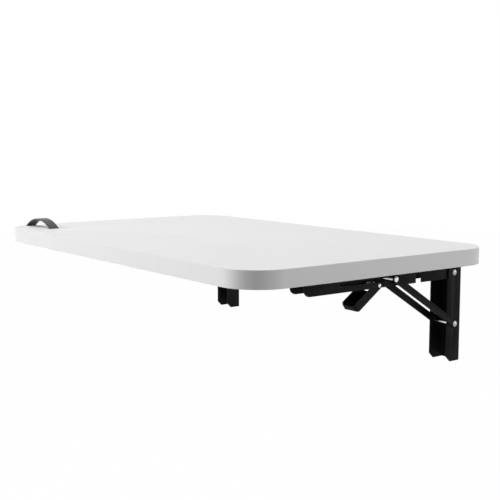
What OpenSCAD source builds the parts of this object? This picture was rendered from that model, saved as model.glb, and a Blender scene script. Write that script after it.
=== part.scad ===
// Wall-mounted folding table: a laminated board on two folding triangle brackets.
// X runs along the wall, Y points into the wall, whose face is y = 0, and Z is up.
// The origin is the middle of the four outer wall holes, on the wall face.
// The table is drawn open. Each bracket is a channel on the wall, an arm under the board,
// a pair of strut bars and a lock pin that slides along the arm when the board folds down.

/* [Board] */
// Length of the board along the wall
board_w = 800; // [760:1:1200]
// Depth of the board from its wall edge to its front edge
board_d = 490; // [400:1:600]
// Thickness of the core between its laminates
core_t = 24; // [16:0.5:30]
// Thickness of each laminate sheet
laminate_t = 1; // [0.6:0.1:1.5]
// Thickness of the band round the edge
band_t = 1.2; // [0.6:0.1:3]
// Radius of the board's corners
corner_r = 61; // [30:1:90]
// Gap between the board and the wall
wall_gap = 3; // [1:0.5:8]

/* [Strap handle] */
// Length of the strap over its feet
strap_l = 94; // [70:1:120]
// Height of the arch above the board
strap_rise = 17; // [14:0.5:26]
// Width of the strap
strap_w = 20; // [14:0.5:26]
// Thickness of the strap
strap_t = 3; // [2:0.25:4]
// Depth of the slots that hold the strap's feet
strap_sink = 4.5; // [3:0.5:6]
// Gap from the board's left end to the strap
strap_end_gap = 11.5; // [11:0.5:60]
// Gap from the board's front edge to the strap
strap_front_gap = 42; // [38:0.5:80]
// Turn of the strap from the line of the front edge, in degrees
strap_turn = 5; // [0:0.5:15]

/* [Bracket layout] */
// Gap from each end of the board to the middle of the nearer bracket
bracket_end_gap = 88.4; // [60:0.2:150]
// Top pivot and strut pivot from the wall
pivot_out = 17.5; // [17:0.5:19]
// Top pivot below the board
pivot_drop = 22.4; // [21:0.1:25]
// Strut pivot below the board
strut_pivot_drop = 108.2; // [100:0.1:125]
// Lock pin from the wall with the table open
pin_home_out = 157; // [150:0.5:160]
// Lock pin below the board
slot_drop = 20.7; // [20:0.1:22]
// Lever pivot from the wall
lever_pivot_out = 187.5; // [184:0.5:194]
// Lever pivot below the board
lever_pivot_drop = 28.4; // [28:0.1:29]

/* [Wall channel] */
// Width across the outside of the channel
channel_w = 38.8; // [34:0.2:42]
// Depth of the channel from the wall to its front edge
channel_d = 32.5; // [30:0.5:38]
// Thickness of the channel's steel
channel_t = 2.5; // [2:0.25:3]
// Length of the channel below the strut pivot
channel_foot = 63.3; // [55:0.1:66]
// Outer radius of the channel's two bends
channel_bend_r = 3.5; // [3:0.25:5]
// Cut across the channel's lower front corners
foot_cut = 9; // [3:0.5:12]
// Radius of the wall screw holes
wall_hole_r = 3.25; // [2.5:0.25:4]
// Upper wall hole below the board
top_hole_drop = 48; // [44:1:54]
// Middle wall hole below the board
mid_hole_drop = 80; // [72:1:92]
// Lower wall hole below the board
low_hole_drop = 150; // [142:1:156]

/* [Arm] */
// Front end of the arm from the wall
arm_reach = 340; // [320:1:380]
// Height of the arm's sides
arm_h = 32; // [31.5:0.25:34]
// Thickness of the arm's steel
arm_t = 2; // [1.5:0.25:2.5]
// Outer radius of the arm's two bends
arm_bend_r = 3; // [2.75:0.25:4]
// Radius of the arm's lower front corner
nose_r = 11; // [4:1:18]
// Radius of the arm's lower back corner about the top pivot
arm_heel_r = 12; // [10:0.5:13]
// Width of the notch that clears the strut pivot when folded
notch_w = 13; // [10:0.5:14]
// How much nearer the wall the notch sits than the strut pivot when folded
notch_lead = 2.8; // [0:0.1:3]

/* [Strut] */
// Width of each strut bar
bar_w = 11.4; // [10.5:0.1:15]
// Thickness of each strut bar
bar_t = 3; // [2:0.25:4]

/* [Pins] */
// Radius of the top pivot rivet
top_pin_r = 3.5; // [2.5:0.25:4]
// Radius of the strut pivot rivet
strut_pin_r = 3; // [2.5:0.1:4]
// Radius of the lock pin
lock_pin_r = 2.5; // [2:0.1:3.5]
// Radius of the lever rivet
lever_pin_r = 2; // [1.5:0.1:2.1]
// Radius of the large rivet heads
head_r = 4.75; // [4.25:0.25:5.5]
// Height of the large rivet heads
head_h = 2; // [1:0.1:2.5]
// Radius of the lever rivet heads
small_head_r = 3.25; // [2.75:0.25:4]
// Height of the lever rivet heads
small_head_h = 1.5; // [0.6:0.1:2]

/* [Release lever] */
// Thickness of the lever's steel
lever_t = 1.6; // [1.2:0.1:2]
// Slope of the finger below level, in degrees
finger_slope = 34.5; // [33:0.5:39]
// Length of the finger along its slope, from the pivot to the middle of its round end
finger_l = 52; // [48:0.5:58]
// How far the finger's underside lies below the line through the pivot
finger_drop = 6.9; // [5:0.1:7.2]
// Radius of the finger's round end
finger_r = 7.3; // [6:0.1:7.8]
// Radius of the finger's two end corners seen from below
finger_corner_r = 5; // [3:0.5:7]
// Length along the slope from the pivot to the finger's shoulder
shoulder_l = 18; // [17:0.5:26]
// Offset of the shoulder above the line through the pivot
shoulder_rise = 7.3; // [6:0.1:7.8]
// Height of the lever's rounded back above its pivot
eye_r = 3.6; // [3.2:0.1:3.7]
// Length of the lever's tail behind its pivot
tail_l = 14; // [10:0.5:15]
// Radius of the tail's round end
tail_r = 3.2; // [2.5:0.1:3.4]
// Distance from the pivot to the start of the finger's web
web_start = 11; // [8:0.5:20]

/* [Lever spring] */
// Radius of the spring wire
wire_r = 0.5; // [0.4:0.05:0.55]
// Turns of the spring
spring_turns = 6; // [4:1:8]
// Distance between neighbouring turns, wire middle to wire middle
spring_pitch = 1.8; // [1.6:0.1:2]
// Length of the leg that presses on the finger's web
finger_leg = 16; // [12:0.5:24]
// Dip of that leg below the finger's slope, in degrees
leg_dip = 4; // [2:0.5:4.5]
// Length of the leg that lies along the tail
tail_leg = 11; // [8:0.5:13]

/* [Board screws] */
// Screw places along the arm, from the wall
screw_places = [62, 128, 214, 318];
// Radius of the screw shank
screw_r = 2; // [1.5:0.1:2.5]
// Length of the screw in the board
screw_bite = 16; // [10:0.5:17]
// Depth of the pilot hole past the screw's tip
pilot_spare = 1; // [0.5:0.5:3]
// Radius of the screw head
screw_head_r = 4.5; // [3.5:0.1:5]
// Height of the screw head
screw_head_h = 2.2; // [1.5:0.1:3]

/* [Clearances] */
// Side gap between the arm and the channel
nest_gap = 0.2; // [0.1:0.05:0.4]
// Side gap between sliding plates and rivet heads
slip_gap = 0.3; // [0.2:0.05:0.5]
// Gap between the lever's rivet and the spring round it
coil_gap = 0.65; // [0.3:0.05:0.7]
// Radial clearance of a pin in its bore
pin_fit = 0.06; // [0.02:0.01:0.1]
// Gap above and below the lock pin in its slot
slot_fit = 0.3; // [0.2:0.05:0.4]
// Gap round a strap foot in its slot
strap_fit = 0.15; // [0.1:0.05:0.3]

/* [Hidden] */
$fn = 48;
over = 1;                                    // how far a cutting solid runs past a face

// Heights: everything on a bracket is measured down from the board's underside
under_z = (top_hole_drop + low_hole_drop) / 2;
board_t = core_t + 2 * laminate_t;
top_z = under_z + board_t;
function below(drop) = under_z - drop;

// Pivots in the side view, as [y, z]
top_pivot = [-pivot_out, below(pivot_drop)];
strut_pivot = [-pivot_out, below(strut_pivot_drop)];
pin_home = [-pin_home_out, below(slot_drop)];
lever_pivot = [-lever_pivot_out, below(lever_pivot_drop)];

// The bracket as a linkage: where the lock pin ends up with the board folded down
pivot_gap = strut_pivot_drop - pivot_drop;
strut_l = norm(pin_home - strut_pivot);
strut_rise = atan2(pin_home[1] - strut_pivot[1], strut_pivot[0] - pin_home[0]);
pin_offset = pivot_drop - slot_drop;
pin_far_out = pivot_out + pivot_gap + sqrt(strut_l * strut_l - pin_offset * pin_offset);
echo(lock_pin_travel = pin_far_out - pin_home_out);
echo(strut_turn_when_folded = strut_rise + 90 - asin(pin_offset / strut_l));

// Widths of the nested steel parts, outermost to innermost
channel_in_w = channel_w - 2 * channel_t;
arm_w = channel_in_w - 2 * nest_gap;
arm_in_w = arm_w - 2 * arm_t;
lever_w = arm_in_w - 2 * slip_gap;
lever_in_w = lever_w - 2 * lever_t;
bar_in_x = channel_w / 2 + slip_gap;          // inner face of a strut bar
lock_pin_l = channel_w;
channel_top_r = channel_d - pivot_out;

// Board and brackets in plan
bracket_pitch = board_w - 2 * bracket_end_gap;
board_y = -wall_gap - board_d / 2;
strap_middle = [strap_end_gap + strap_l / 2 - board_w / 2,
                strap_front_gap + strap_w / 2 - wall_gap - board_d];
strap_arc_r = (strap_l * strap_l / 4 + strap_rise * strap_rise) / (2 * strap_rise);

// Lever outline, as [y, z] from the lever's pivot
finger_along = [-cos(finger_slope), -sin(finger_slope)];
finger_up = [-sin(finger_slope), cos(finger_slope)];
finger_end = finger_l * finger_along;
belly = (eye_r - finger_drop) * finger_up;      // middle of the round under the pivot
shoulder = shoulder_l * finger_along + shoulder_rise * finger_up;
tail_end = [tail_l, eye_r - tail_r];

// Spring round the lever's rivet
spring_r = lever_pin_r + coil_gap + wire_r;

// How far a straight side lies inside the round it runs into, so that they cross cleanly
blend_in = 0.02;
// How far the finger's rounded end is cut back square
end_flat = 0.5;

function unit(a) = [cos(a), sin(a)];
// The two points where a straight line touches two circles, on side 1 (left) or -1 (right)
function tangent(c1, r1, c2, r2, side) =
    let (d = c2 - c1,
         a = atan2(d[1], d[0]) + side * acos((r1 - r2) / norm(d)))
    [c1 + r1 * unit(a), c2 + r2 * unit(a)];

// A side view outline, given in [y, z], made into a plate of the given width along X
module across(w) { rotate([90, 0, 90]) linear_extrude(w, center = true) children(); }

// A round bar along X at a place in the side view
module bar_x(r, l, at) {
    translate([0, at[0], at[1]]) rotate([0, 90, 0]) cylinder(r = r, h = l, center = true);
}

// A low domed rivet head that sits on the face at x and bulges towards side
module rivet_head(r, h, x, side, at) {
    dome_r = (r * r + h * h) / (2 * h);
    translate([x, at[0], at[1]]) rotate([0, side * 90, 0])
        intersection() {
            translate([0, 0, h - dome_r]) sphere(dome_r, $fn = 96);
            cylinder(r = r, h = h);
        }
}

// A rivet through the bracket: shank between two heads
module rivet(r, l, hr, hh, at) {
    bar_x(r, l, at);
    for (side = [-1, 1]) rivet_head(hr, hh, side * l / 2, side, at);
}

module on_bracket(side) { translate([side * bracket_pitch / 2, 0, 0]) children(); }

// A board outline with round corners, drawn in by inset on every side
module board_outline(inset) {
    w = board_w - 2 * inset;
    d = board_d - 2 * inset;
    r = corner_r - inset;
    translate([0, board_y]) {
        square([w - 2 * r, d], center = true);
        square([w, d - 2 * r], center = true);
        for (sx = [-1, 1], sy = [-1, 1])
            translate([sx * (w / 2 - r), sy * (d / 2 - r)]) circle(r);
    }
}

// The strap's arc band, grown by gap on every side; it runs on below the board's face
module strap_band(gap) {
    translate([strap_middle[0], strap_middle[1], top_z + strap_rise - strap_arc_r])
        rotate([0, 0, strap_turn]) rotate([90, 0, 0])
            difference() {
                cylinder(r = strap_arc_r + gap, h = strap_w + 2 * gap, center = true, $fn = 96);
                cylinder(r = strap_arc_r - strap_t - gap, h = strap_w + 2 * gap + over,
                         center = true, $fn = 96);
            }
}

// The slots that take the strap's feet
module strap_slots() {
    intersection() {
        strap_band(strap_fit);
        translate([strap_middle[0], strap_middle[1], top_z - strap_sink / 2 - strap_fit + over])
            cube([strap_l * 2, strap_l, strap_sink + 2 * over], center = true);
    }
}

// Holes up from the underside for the board screws of both arms
module screw_holes() {
    for (side = [-1, 1], out = screw_places)
        translate([side * bracket_pitch / 2, -out, under_z - over])
            cylinder(r = screw_r + pin_fit, h = over + screw_bite + pilot_spare);
}

module board_core() {
    color("burlywood") difference() {
        translate([0, 0, under_z + laminate_t]) linear_extrude(core_t) board_outline(band_t);
        strap_slots();
        screw_holes();
    }
}

module top_laminate() {
    color("whitesmoke") difference() {
        translate([0, 0, top_z - laminate_t]) linear_extrude(laminate_t) board_outline(0);
        strap_slots();
    }
}

module bottom_laminate() {
    color("whitesmoke") difference() {
        translate([0, 0, under_z]) linear_extrude(laminate_t) board_outline(0);
        screw_holes();
    }
}

module edge_band() {
    color("gainsboro") translate([0, 0, under_z + laminate_t]) linear_extrude(core_t)
        difference() {
            board_outline(0);
            board_outline(band_t);
        }
}

module strap_handle() {
    color("dimgray") intersection() {
        strap_band(0);
        translate([strap_middle[0], strap_middle[1], top_z - strap_sink + strap_arc_r])
            cube([strap_l * 2, strap_l, 2 * strap_arc_r], center = true);
    }
}

// Side view of the wall channel: round about the top pivot, cut at the lower front corner
module channel_side() {
    foot_z = strut_pivot[1] - channel_foot;
    polygon([[0, foot_z], [0, top_pivot[1] + channel_top_r],
             [top_pivot[0], top_pivot[1] + channel_top_r], top_pivot,
             [-channel_d, top_pivot[1]], [-channel_d, foot_z + foot_cut],
             [-channel_d + foot_cut, foot_z]]);
    translate(top_pivot) circle(channel_top_r);
}

// A trough section, open towards -Y, with its back at y = 0 and round outer bends
module trough(w, depth, t, bend_r) {
    difference() {
        union() {
            translate([-w / 2, -depth]) square([w, depth - bend_r]);
            translate([-w / 2 + bend_r, -bend_r]) square([w - 2 * bend_r, bend_r]);
            for (side = [-1, 1])
                translate([side * (w / 2 - bend_r), -bend_r]) circle(bend_r);
        }
        translate([-w / 2 + t, -depth - over]) square([w - 2 * t, depth - bend_r + over]);
        translate([-w / 2 + bend_r, -bend_r - over])
            square([w - 2 * bend_r, bend_r - t + over]);
        for (side = [-1, 1])
            translate([side * (w / 2 - bend_r), -bend_r]) circle(bend_r - t);
    }
}

module wall_channel(side) {
    on_bracket(side) color([0.13, 0.13, 0.14]) difference() {
        intersection() {
            across(channel_w + over) channel_side();
            translate([0, 0, strut_pivot[1] - channel_foot - over])
                linear_extrude(strut_pivot_drop + channel_foot + over)
                    trough(channel_w, channel_d, channel_t, channel_bend_r);
        }
        bar_x(top_pin_r + pin_fit, channel_w + over, top_pivot);
        bar_x(strut_pin_r + pin_fit, channel_w + over, strut_pivot);
        for (drop = [top_hole_drop, mid_hole_drop, low_hole_drop])
            translate([0, over, below(drop)]) rotate([90, 0, 0])
                cylinder(r = wall_hole_r, h = channel_t + 2 * over);
    }
}

// Side view of the arm: round heel about the top pivot, round lower corner at the front
module arm_side() {
    difference() {
        union() {
            polygon([[top_pivot[0], below(arm_h)], [top_pivot[0], under_z],
                     [-arm_reach, under_z], [-arm_reach, below(arm_h - nose_r)],
                     [-arm_reach + nose_r, below(arm_h - nose_r)],
                     [-arm_reach + nose_r, below(arm_h)]]);
            translate([-arm_reach + nose_r, below(arm_h - nose_r)]) circle(nose_r);
            intersection() {
                translate([top_pivot[0] - over, below(arm_h)]) square([arm_heel_r + over, arm_h]);
                union() {
                    translate(top_pivot) circle(arm_heel_r);
                    translate([top_pivot[0] - over, top_pivot[1]])
                        square([arm_heel_r + over, pivot_drop]);
                }
            }
        }
        arm_slot();
        arm_notch();
    }
}

// The slot that the lock pin slides in, from open at its wall end to folded at its front end
module arm_slot() {
    r = lock_pin_r + slot_fit;
    translate([-pin_far_out, below(slot_drop) - r]) square([pin_far_out - pin_home_out, 2 * r]);
    for (out = [pin_home_out, pin_far_out]) translate([-out, below(slot_drop)]) circle(r);
}

// The notch that goes over the strut pivot's rivet when the arm comes down
module arm_notch() {
    at = [top_pivot[0] - pivot_gap + notch_lead, top_pivot[1]];
    translate(at) circle(notch_w / 2);
    translate([at[0] - notch_w / 2, below(arm_h) - over])
        square([notch_w, at[1] - below(arm_h) + over]);
}

module arm(side) {
    on_bracket(side) color([0.13, 0.13, 0.14]) difference() {
        intersection() {
            across(arm_w + over) arm_side();
            translate([0, 0, under_z]) rotate([90, 0, 0])
                linear_extrude(arm_reach + over) trough(arm_w, arm_h + over, arm_t, arm_bend_r);
        }
        bar_x(top_pin_r + pin_fit, arm_w + over, top_pivot);
        bar_x(lever_pin_r + pin_fit, arm_w + over, lever_pivot);
        for (out = screw_places)
            translate([0, -out, under_z - arm_t - over])
                cylinder(r = screw_r + pin_fit, h = arm_t + 2 * over);
    }
}

// One bar along +X from the strut pivot, on the +Y side
module strut_bar() {
    translate([0, bar_in_x + bar_t, 0]) rotate([90, 0, 0]) linear_extrude(bar_t) difference() {
        union() {
            translate([0, -bar_w / 2]) square([strut_l, bar_w]);
            for (x = [0, strut_l]) translate([x, 0]) circle(bar_w / 2);
        }
        circle(strut_pin_r + pin_fit);
        translate([strut_l, 0]) circle(lock_pin_r + pin_fit);
    }
}

// Puts a strut drawn along +X, with its sides along Y, onto its line in the bracket
module on_strut_line() {
    translate([0, strut_pivot[0], strut_pivot[1]]) rotate([-strut_rise, 0, 0])
        rotate([0, 0, -90]) children();
}

module strut(side) {
    on_bracket(side) color([0.16, 0.16, 0.17]) on_strut_line() {
        strut_bar();
        mirror([0, 1, 0]) strut_bar();
    }
}

// Shouldered rivets that close the lock pin's pivot outside each bar
module strut_rivets(side) {
    on_bracket(side) color("silver") for (s = [-1, 1]) {
        translate([s * (bar_in_x + bar_t / 2), 0, 0]) bar_x(lock_pin_r, bar_t, pin_home);
        rivet_head(head_r, head_h, s * (bar_in_x + bar_t), s, pin_home);
    }
}

module lock_pin(side) {
    on_bracket(side) color("silver") bar_x(lock_pin_r, lock_pin_l, pin_home);
}

module top_pivot_rivet(side) {
    on_bracket(side) color("silver") rivet(top_pin_r, channel_w, head_r, head_h, top_pivot);
}

module strut_pivot_rivet(side) {
    on_bracket(side) color("silver")
        rivet(strut_pin_r, 2 * (bar_in_x + bar_t), head_r, head_h, strut_pivot);
}

module lever_rivet(side) {
    on_bracket(side) color("silver")
        rivet(lever_pin_r, arm_w, small_head_r, small_head_h, lever_pivot);
}

// Side view of the lever, from its pivot: tail, eye, shoulder and finger with a round end
module lever_side() {
    eye = eye_r - blend_in;
    tip = finger_r - blend_in;
    tail = tail_r - blend_in;
    back = tangent([0, 0], eye, shoulder, 0, -1);
    front = tangent(shoulder, 0, finger_end, tip, -1);
    low = tangent(belly, eye, finger_end, tip, 1);
    heel = tangent(belly, eye, [0, 0], eye, 1);
    tail_top = tangent(tail_end, tail, [0, 0], eye, -1);
    tail_low = tangent(tail_end, tail, [0, 0], eye, 1);
    polygon([[0, 0], back[0], shoulder, front[1], finger_end, low[1], low[0], belly]);
    polygon([belly, heel[0], heel[1], [0, 0]]);
    polygon([[0, 0], tail_low[1], tail_low[0], tail_end, tail_top[0], tail_top[1]]);
    circle(eye_r);
    translate(belly) circle(eye_r);
    translate(tail_end) circle(tail_r);
    translate(finger_end) circle(finger_r);
}

// What is cut out between the lever's sides: all but a web under the finger and round its end
module lever_hollow() {
    deep = finger_r - lever_t;
    floor_line = tangent(belly, eye_r - lever_t, finger_end, deep - blend_in, 1);
    far = finger_end + (deep - blend_in) * finger_along;
    reach = 4 * finger_r;
    polygon([floor_line[0], floor_line[1], finger_end, far, far + reach * finger_up,
             floor_line[0] + reach * finger_up]);
    translate(finger_end) circle(deep);
    rotate(finger_slope) translate([-web_start, -reach]) square([tail_l + 2 * reach, 2 * reach]);
}

// What is left of the lever when its end corners are rounded, seen square to the finger;
// the inset is for the same rounding inside
module lever_plan(inset) {
    half = lever_w / 2 - inset;
    r = finger_corner_r - inset;
    end = finger_l + finger_r - end_flat - inset;
    rotate([finger_slope, 0, 0]) rotate([0, 0, 180])
        linear_extrude(4 * (tail_l + finger_l), center = true) {
            translate([-lever_w, -2 * tail_l - end]) square([2 * lever_w, 2 * tail_l + 2 * end - r]);
            translate([-half + r, 0]) square([2 * (half - r), end - blend_in]);
            for (x = [-half + r - blend_in, half - r + blend_in]) translate([x, end - r]) circle(r);
        }
}

module release_lever(side) {
    on_bracket(side) color([0.13, 0.13, 0.14])
        translate([0, lever_pivot[0], lever_pivot[1]]) difference() {
            intersection() {
                across(lever_w) lever_side();
                lever_plan(0);
            }
            intersection() {
                across(lever_in_w) lever_hollow();
                lever_plan(lever_t);
            }
            rotate([0, 90, 0]) cylinder(r = lever_pin_r + pin_fit, h = lever_w + over, center = true);
        }
}

// A tube swept along points: a ring of corners square to the path at each point
function path_dir(p, i) =
    let (n = len(p) - 1, a = p[max(i - 1, 0)], b = p[min(i + 1, n)]) (b - a) / norm(b - a);
function ring(p, i, r, sides) =
    let (d = path_dir(p, i),
         u0 = cross(d, abs(d[0]) < 0.9 ? [1, 0, 0] : [0, 1, 0]),
         u = u0 / norm(u0),
         v = cross(d, u))
    [for (k = [0:sides - 1]) p[i] + r * (cos(360 * k / sides) * u + sin(360 * k / sides) * v)];
module tube(p, r, sides) {
    n = len(p);
    corners = [for (i = [0:n - 1]) each ring(p, i, r, sides)];
    walls = [for (i = [0:n - 2], k = [0:sides - 1])
        let (m = (k + 1) % sides, a = i * sides, b = a + sides)
        each [[a + k, b + k, a + m], [a + m, b + k, b + m]]];
    ends = [[for (k = [0:sides - 1]) k], [for (k = [sides - 1:-1:0]) (n - 1) * sides + k]];
    polyhedron(corners, concat(walls, ends), convexity = 6);
}

// Torsion spring round the lever's rivet: one leg under the tail, turns, one leg on the web
spring_l = spring_turns * spring_pitch;
leg_slope = finger_slope + leg_dip;
coil_turns = spring_turns - leg_slope / 360;
function coil_point(t) =
    let (a = -90 - 360 * t)
    [spring_pitch * t - spring_l / 2, spring_r * cos(a), spring_r * sin(a)];
coil_steps = 8 * spring_turns;
spring_coil = [for (i = [0:coil_steps]) coil_point(coil_turns * i / coil_steps)];
spring_path = concat(
    [[-spring_l / 2, tail_leg, -spring_r]],
    spring_coil,
    [spring_coil[coil_steps] + finger_leg * [0, -cos(leg_slope), -sin(leg_slope)]]
);
echo(least_gap_between_spring_turns = min([for (i = [0:coil_steps - 6], j = [i + 6:coil_steps])
    norm(spring_coil[i] - spring_coil[j]) - 2 * wire_r]));

module lever_spring(side) {
    on_bracket(side) color("silver") translate([0, lever_pivot[0], lever_pivot[1]])
        tube(spring_path, wire_r, 8);
}

module board_screws(side) {
    on_bracket(side) color("silver") for (out = screw_places)
        translate([0, -out, under_z - arm_t]) {
            cylinder(r = screw_r, h = arm_t + screw_bite);
            translate([0, 0, -screw_head_h]) cylinder(r = screw_head_r, h = screw_head_h);
        }
}

module wall_channel_right() { wall_channel(1); }
module wall_channel_left() { wall_channel(-1); }
module arm_right() { arm(1); }
module arm_left() { arm(-1); }
module strut_right() { strut(1); }
module strut_left() { strut(-1); }
module strut_rivets_right() { strut_rivets(1); }
module strut_rivets_left() { strut_rivets(-1); }
module lock_pin_right() { lock_pin(1); }
module lock_pin_left() { lock_pin(-1); }
module release_lever_right() { release_lever(1); }
module release_lever_left() { release_lever(-1); }
module lever_spring_right() { lever_spring(1); }
module lever_spring_left() { lever_spring(-1); }
module lever_rivet_right() { lever_rivet(1); }
module lever_rivet_left() { lever_rivet(-1); }
module top_pivot_rivet_right() { top_pivot_rivet(1); }
module top_pivot_rivet_left() { top_pivot_rivet(-1); }
module strut_pivot_rivet_right() { strut_pivot_rivet(1); }
module strut_pivot_rivet_left() { strut_pivot_rivet(-1); }
module board_screws_right() { board_screws(1); }
module board_screws_left() { board_screws(-1); }

board_core();
top_laminate();
bottom_laminate();
edge_band();
strap_handle();
wall_channel_right();
wall_channel_left();
arm_right();
arm_left();
strut_right();
strut_left();
strut_rivets_right();
strut_rivets_left();
lock_pin_right();
lock_pin_left();
release_lever_right();
release_lever_left();
lever_spring_right();
lever_spring_left();
lever_rivet_right();
lever_rivet_left();
top_pivot_rivet_right();
top_pivot_rivet_left();
strut_pivot_rivet_right();
strut_pivot_rivet_left();
board_screws_right();
board_screws_left();
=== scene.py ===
"""Looks of a wall-mounted folding table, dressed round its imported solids.

Lengths are in metres in the row frame: X runs along the wall, Y points into the wall and Z is up.
The steel pressings and the laminate sheets keep the shape of their solids and get softened edges.
The edge tape, the strap handle, the rivets, lock pins, screws and springs are made here in full.
"""

from __future__ import annotations

import logging
import math
from abc import ABC, abstractmethod
from collections.abc import Callable, Sequence
from dataclasses import dataclass
from enum import Enum
from functools import lru_cache
from typing import Any

import bmesh
import bpy
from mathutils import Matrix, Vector

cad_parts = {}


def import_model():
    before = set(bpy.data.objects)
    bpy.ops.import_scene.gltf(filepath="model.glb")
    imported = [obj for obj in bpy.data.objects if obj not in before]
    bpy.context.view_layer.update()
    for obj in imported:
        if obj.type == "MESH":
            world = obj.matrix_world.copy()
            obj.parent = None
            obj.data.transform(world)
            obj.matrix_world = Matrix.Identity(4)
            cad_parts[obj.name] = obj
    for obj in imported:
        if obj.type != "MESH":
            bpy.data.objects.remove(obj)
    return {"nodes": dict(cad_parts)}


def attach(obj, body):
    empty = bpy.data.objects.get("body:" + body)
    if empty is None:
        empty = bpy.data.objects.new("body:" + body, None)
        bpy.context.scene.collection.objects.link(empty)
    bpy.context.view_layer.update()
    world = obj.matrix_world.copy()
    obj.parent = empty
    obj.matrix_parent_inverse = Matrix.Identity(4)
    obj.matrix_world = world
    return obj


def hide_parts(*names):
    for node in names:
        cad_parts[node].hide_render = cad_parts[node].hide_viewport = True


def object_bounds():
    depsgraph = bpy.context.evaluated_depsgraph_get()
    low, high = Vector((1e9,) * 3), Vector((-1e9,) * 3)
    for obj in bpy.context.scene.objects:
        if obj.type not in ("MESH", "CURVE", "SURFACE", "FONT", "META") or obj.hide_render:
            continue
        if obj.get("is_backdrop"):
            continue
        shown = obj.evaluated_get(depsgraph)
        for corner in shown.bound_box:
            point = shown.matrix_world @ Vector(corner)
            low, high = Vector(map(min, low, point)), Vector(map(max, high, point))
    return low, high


LOG = logging.getLogger("folding_table")
# Points of a mesh that are closer than this, in metres, are one point.
SAME_POINT = 1e-7
# The Mix node's sockets for colours: its share, the two that go in and the one that comes out.
MIX_SHARE, MIX_FIRST, MIX_SECOND, MIX_RESULT = 0, 6, 7, 2
WHITE_LIGHT = (1.0, 1.0, 1.0, 1.0)

Colour = tuple[float, float, float]
Point = tuple[float, float, float]
# A point in a plane, such as in a section or in the bracket's side view.
Spot = tuple[float, float]
# Where a smooth rise starts and where it ends.
Span = tuple[float, float]


class Side(Enum):
    """One of the two brackets, by the end of the board that it is near."""

    RIGHT = 1
    LEFT = -1

    @property
    def word(self) -> str:
        """The side's name as the solids and bodies use it."""
        return self.name.lower()


class HeadStyle(Enum):
    """How the end of a rivet is formed."""

    DOMED = "domed"
    ROLLED = "rolled"


class Signal:
    """A value on its way through a material, with Python's own arithmetic."""

    def __init__(self, recipe: Recipe, socket: bpy.types.NodeSocket) -> None:
        """Wraps an output socket.

        Args:
            recipe: The recipe that the socket's node belongs to.
            socket: The output socket that carries the value.
        """
        self.recipe = recipe
        self.socket = socket

    def _math(self, operation: str, first: Signal | float, second: Signal | float) -> Signal:
        """Adds one Math node.

        Args:
            operation: The Math node's operation.
            first: Its first value.
            second: Its second value.

        Returns:
            The node's result.
        """
        return self.recipe.node("Math", {"operation": operation}, {0: first, 1: second})

    def __add__(self, other: Signal | float) -> Signal:
        """The sum of the two."""
        return self._math("ADD", self, other)

    def __radd__(self, other: float) -> Signal:
        """The sum of the two, with a plain number first."""
        return self._math("ADD", other, self)

    def __sub__(self, other: Signal | float) -> Signal:
        """This value less the other."""
        return self._math("SUBTRACT", self, other)

    def __rsub__(self, other: float) -> Signal:
        """A plain number less this value."""
        return self._math("SUBTRACT", other, self)

    def __mul__(self, other: Signal | float) -> Signal:
        """The product of the two."""
        return self._math("MULTIPLY", self, other)

    def __rmul__(self, other: float) -> Signal:
        """The product of the two, with a plain number first."""
        return self._math("MULTIPLY", other, self)

    def __pow__(self, other: Signal | float) -> Signal:
        """This value raised to a power."""
        return self._math("POWER", self, other)

    def larger(self, other: Signal | float) -> Signal:
        """The larger of the two."""
        return self._math("MAXIMUM", self, other)

    def wave(self) -> Signal:
        """The sine of this value, moved into the range from 0 to 1."""
        return self._math("SINE", self, 0.0) * 0.5 + 0.5

    def step(self, low: float, high: float) -> Signal:
        """A smooth rise from 0 at low to 1 at high.

        Args:
            low: The value where the rise starts.
            high: The value where it ends.

        Returns:
            The risen value.
        """
        settings = {"interpolation_type": "SMOOTHSTEP"}
        return self.recipe.node(
            "MapRange", settings, {"Value": self, "From Min": low, "From Max": high}
        )


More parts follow.
